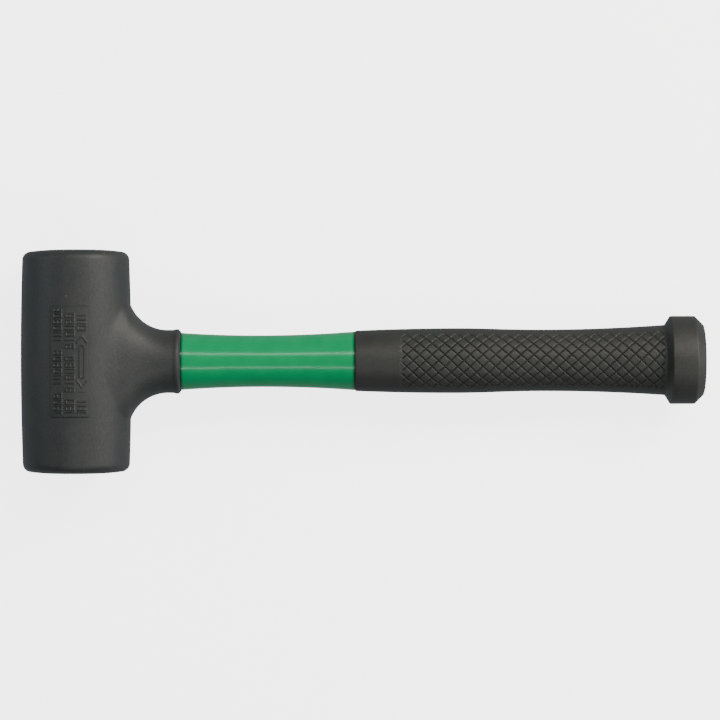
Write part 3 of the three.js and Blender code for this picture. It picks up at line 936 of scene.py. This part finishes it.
# what the head holds: the solids keep their own shapes
for name, material in {
    "canister_tube": canisterSteel,
    "canister_cap_a": canisterSteel,
    "canister_cap_b": canisterSteel,
    "handle_socket": canisterSteel,
    "adhesive_bond": epoxy,
    "socket_pin": ballSteel,
    "handle_core": glassFibre,
}.items():
    nodes[name].data.materials.clear()
    nodes[name].data.materials.append(material)

ball = {"rows": 14, "columns": 28}


def ballSkin(centre, radius):
    # a sphere by latitude and longitude
    latitude = np.linspace(-math.pi / 2, math.pi / 2, ball["rows"] + 1)[:, None]
    longitude = np.linspace(0, 2 * math.pi, ball["columns"] + 1)[None, :-1]
    unit = np.stack([np.cos(latitude) * np.cos(longitude), np.cos(latitude) * np.sin(longitude),
                     np.sin(latitude) + 0 * longitude], axis=-1)
    return [ringPatch(centre + radius * unit)]


for name in sorted(n for n in nodes if n.startswith("shot_ball")):
    low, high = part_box(name)
    centre = toolAxes @ (np.array((low + high) / 2) - headCentre) / mm
    radius = (high.y - low.y) / 2 / mm
    addPiece(name.replace("shot_ball", "ball"), ballSkin(centre, radius), ballSteel, "shot_charge",
             [name])

def lookAlong(obj, location, right, up, back):
    # puts an object at a place in the tool's millimetres with the given axes in the frame
    axes = np.array([right, up, back]).T
    matrix = np.eye(4)
    matrix[:3, :3] = axes
    matrix[:3, 3] = place(location)
    obj.matrix_world = Matrix(matrix.tolist())


table = {"halfSize": 12.0, "glow": 3.5}      # metres, and the strength of its own light


def benchTop():
    # a plain pale bench at the height the mallet rests on
    size, height = table["halfSize"], cadLow.z
    mesh = bpy.data.meshes.new("bench")
    corners = [(-size, -size, height), (size, -size, height),
               (size, size, height), (-size, size, height)]
    mesh.from_pydata(corners, [], [(0, 1, 2, 3)])
    bench = bpy.data.objects.new("bench", mesh)
    bpy.context.scene.collection.objects.link(bench)
    # a white sheet lit from beneath, as a light table is
    material, _, _ = newMaterial("bench, matt white", Roughness=0.9, Base_Color=rgb("#f4f4f3"),
                                 Emission_Color=rgb("#ffffff"), Emission_Strength=table["glow"])
    mesh.materials.append(material)
    # what it sends back to the tool is left to the world's lower half, so that it can be dimmer
    bench.visible_glossy = False
    bench.visible_diffuse = False


benchTop()

# the camera looks straight at the tool's upper side; roll is in degrees
view = {"reach": 128.5, "aside": 0.4, "distance": 1448.0, "lens": 159.92, "roll": 0.17}
camera = bpy.data.objects.new("camera", bpy.data.cameras.new("camera"))
camera.data.lens = view["lens"]
camera.data.sensor_width = 36
camera.data.clip_end = 20
bpy.context.scene.collection.objects.link(camera)
roll = math.radians(view["roll"])
lookAlong(camera, (view["reach"], view["aside"], view["distance"]),
          handleAxis * math.cos(roll) - headAxis * math.sin(roll),
          headAxis * math.cos(roll) + handleAxis * math.sin(roll), upAxis)
bpy.context.scene.camera = camera


def addLight(name, spot, size, power, colour="#ffffff"):
    # a soft rectangular light in the tool's millimetres, aimed at the middle of the view
    data = bpy.data.lights.new(name, "AREA")
    data.shape = "RECTANGLE"
    data.size, data.size_y = size[0] * mm, size[1] * mm
    data.energy = power
    data.color = rgb(colour)[:3]
    light = bpy.data.objects.new(name, data)
    bpy.context.scene.collection.objects.link(light)
    back = np.array(spot, float) - (view["reach"], 0, 0)
    back = (back / np.linalg.norm(back)) @ toolAxes
    up = headAxis - back * np.dot(headAxis, back)
    up = up / np.linalg.norm(up)
    lookAlong(light, spot, np.cross(up, back), up, back)
    light.visible_camera = False


addLight("upper strip", (450, 640, 1000), (1700, 60), 7.5)
addLight("lower strip", (450, -550, 1000), (1700, 50), 4.5)
addLight("key softbox", (1060, 720, 780), (500, 500), 15.0, "#fff8ee")
addLight("left softbox", (-900, 300, 500), (500, 500), 2.5, "#eef4ff")
addLight("right softbox", (1500, 0, 400), (400, 400), 5.0)

studio = {"above": 0.2, "below": 0.55, "horizon": 0.05, "colour": "#e6eff6"}


def studioWorld():
    # even, dim light from above, and from below the part of the bench's light that reaches the tool
    world = bpy.data.worlds.new("studio")
    world.use_nodes = True
    tree = world.node_tree
    background = tree.nodes["Background"]
    background.inputs["Color"].default_value = rgb(studio["colour"])
    direction = addNode(tree, "ShaderNodeTexCoord").outputs["Generated"]
    height = addNode(tree, "ShaderNodeSeparateXYZ", {"Vector": direction}).outputs["Z"]
    strength = addNode(tree, "ShaderNodeMapRange", {"Value": height},
                       From_Min=-studio["horizon"], From_Max=studio["horizon"],
                       To_Min=studio["below"], To_Max=studio["above"])
    tree.links.new(strength.outputs["Result"], background.inputs["Strength"])
    bpy.context.scene.world = world


studioWorld()
print("bench, camera and lights placed")
